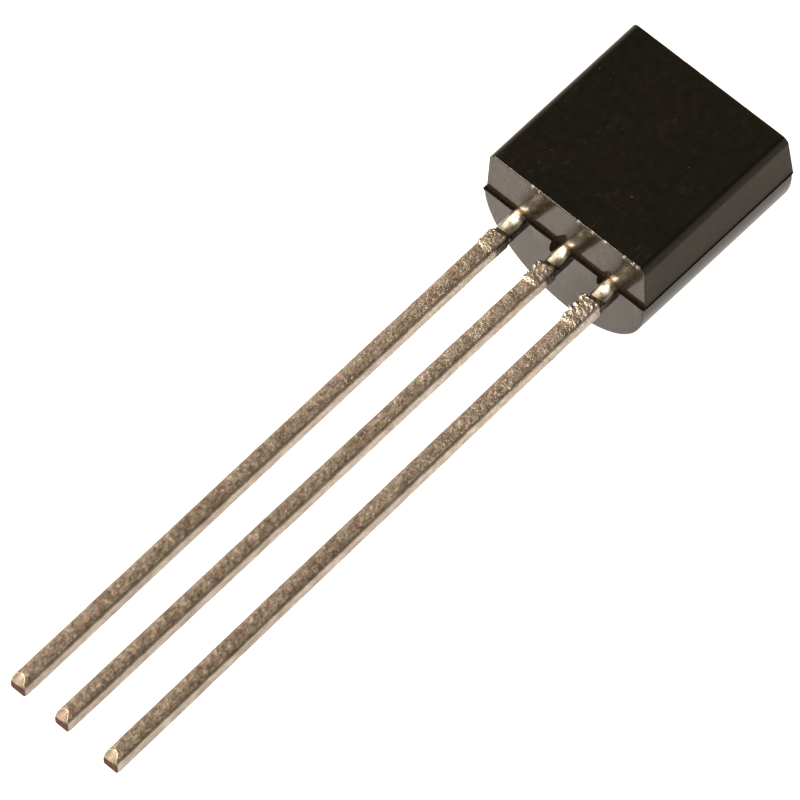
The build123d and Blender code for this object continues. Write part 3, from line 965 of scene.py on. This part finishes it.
    close(0, -1, (0.85, 0.68, 0.5, 0.3, 0.12), 0.010)
    close(rows - 1, 1, (0.6,), 0.0)
    points = np.vstack([points, np.array(extra)])
    mat = tin(name + "_tin", seed, i)
    obj = make_mesh(name, points, faces, (mat,), None, 40.0)
    bm_ = bmesh.new()
    bm_.from_mesh(obj.data)
    bmesh.ops.recalc_face_normals(bm_, faces=bm_.faces)
    bad = sum(1 for e in bm_.edges if len(e.link_faces) != 2)
    print(name, "faces", len(bm_.faces), "open edges", bad)
    bm_.to_mesh(obj.data)
    bm_.free()
    obj.data.set_sharp_from_angle(angle=math.radians(50))
    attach(obj, "root")
    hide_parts(node)
    return obj


build_lead("left_lead", "emitter_lead", 0, 2.7)
build_lead("middle_lead", "collector_lead", 1, 11.3)
build_lead("right_lead", "base_lead", 2, 23.9)

# ------------------------------------------------------------------------------------
# Hidden pieces keep their CAD shape
# ------------------------------------------------------------------------------------
hidden = {
    "silicon_die": plain_metal("silicon", (0.10, 0.11, 0.13), (0.16, 0.17, 0.20), 0.12, 0.22, 5.0, 0.6),
    "die_attach": plain_metal("silver_attach", (0.55, 0.54, 0.50), (0.70, 0.69, 0.66), 0.35, 0.55, 9.0),
    "emitter_bond_wire": plain_metal("gold_wire", (0.78, 0.56, 0.20), (0.88, 0.68, 0.30), 0.18, 0.28, 20.0),
}
hidden["base_bond_wire"] = hidden["emitter_bond_wire"]
for node, mat in hidden.items():
    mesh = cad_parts[node].data
    mesh.materials.clear()
    mesh.materials.append(mat)

# ------------------------------------------------------------------------------------
# Floor, lights, world
# ------------------------------------------------------------------------------------
floor_mesh = bpy.data.meshes.new("floor")
S = 1.5
floor_mesh.from_pydata([(-S, -S, 0), (S, -S, 0), (S, S, 0), (-S, S, 0)], [], [(0, 1, 2, 3)])
floor = bpy.data.objects.new("floor", floor_mesh)
bpy.context.scene.collection.objects.link(floor)
floor.location.z = -0.00001
fm = bpy.data.materials.new("floor")
fm.use_nodes = True
fb = fm.node_tree.nodes["Principled BSDF"]
fb.inputs["Base Color"].default_value = (0.36, 0.36, 0.36, 1)
fb.inputs["Emission Color"].default_value = (1.0, 0.965, 0.935, 1)
fb.inputs["Emission Strength"].default_value = 1.06
fb.inputs["Roughness"].default_value = 0.9
fb.inputs["Specular IOR Level"].default_value = 0.0
floor_mesh.materials.append(fm)

target = Vector((0, 0.004, 0.002))
WARM = (1.0, 0.86, 0.70)


def softbox(name, direction, distance, size, power, color=WARM):
    data = bpy.data.lights.new(name, "AREA")
    data.shape = "DISK"
    data.size = size
    data.energy = power
    data.color = color
    obj = bpy.data.objects.new(name, data)
    bpy.context.scene.collection.objects.link(obj)
    d = turn(direction).normalized()
    obj.location = target + d * distance
    obj.rotation_mode = "QUATERNION"
    obj.rotation_quaternion = d.to_track_quat("Z", "Y")
    return obj


softbox("key_light", (-0.60, -0.30, 0.85), 0.5, 0.17, 4.4)
softbox("front_fill", (-0.35, -0.95, 0.55), 0.6, 0.40, 1.6)

# soft room light: pale to the left and in front, dim to the right, behind and overhead
world = bpy.data.worlds.new("studio")
bpy.context.scene.world = world
world.use_nodes = True
wt = world.node_tree
wt.nodes.clear()
coord = wt.nodes.new("ShaderNodeTexCoord")


def lobe(direction, start, end, strength):
    dot = wt.nodes.new("ShaderNodeVectorMath")
    dot.operation = "DOT_PRODUCT"
    wt.links.new(coord.outputs["Generated"], dot.inputs[0])
    dot.inputs[1].default_value = Vector(direction).normalized()
    ramp_ = wt.nodes.new("ShaderNodeMapRange")
    ramp_.interpolation_type = "SMOOTHSTEP"
    wt.links.new(dot.outputs["Value"], ramp_.inputs["Value"])
    ramp_.inputs["From Min"].default_value = start
    ramp_.inputs["From Max"].default_value = end
    ramp_.inputs["To Min"].default_value = 0.0
    ramp_.inputs["To Max"].default_value = strength
    return ramp_.outputs["Result"]


def plus(a, b):
    n = wt.nodes.new("ShaderNodeMath")
    n.operation = "ADD"
    wt.links.new(a, n.inputs[0])
    if isinstance(b, float):
        n.inputs[1].default_value = b
    else:
        wt.links.new(b, n.inputs[1])
    return n.outputs[0]


glow = plus(lobe((-1.0, 0.05, 0.25), 0.62, 0.98, 0.75), lobe((-0.1, -1.0, 0.25), 0.25, 0.95, 1.0))
glow = plus(glow, lobe((0.92, 0.25, 0.30), 0.55, 0.97, 0.55))
glow = plus(glow, 0.07)
bg = wt.nodes.new("ShaderNodeBackground")
bg.inputs["Color"].default_value = (1.0, 0.90, 0.77, 1)
wt.links.new(glow, bg.inputs["Strength"])
wo = wt.nodes.new("ShaderNodeOutputWorld")
wt.links.new(bg.outputs["Background"], wo.inputs["Surface"])

bpy.context.scene.view_settings.view_transform = "Standard"
bpy.context.scene.view_settings.look = "None"
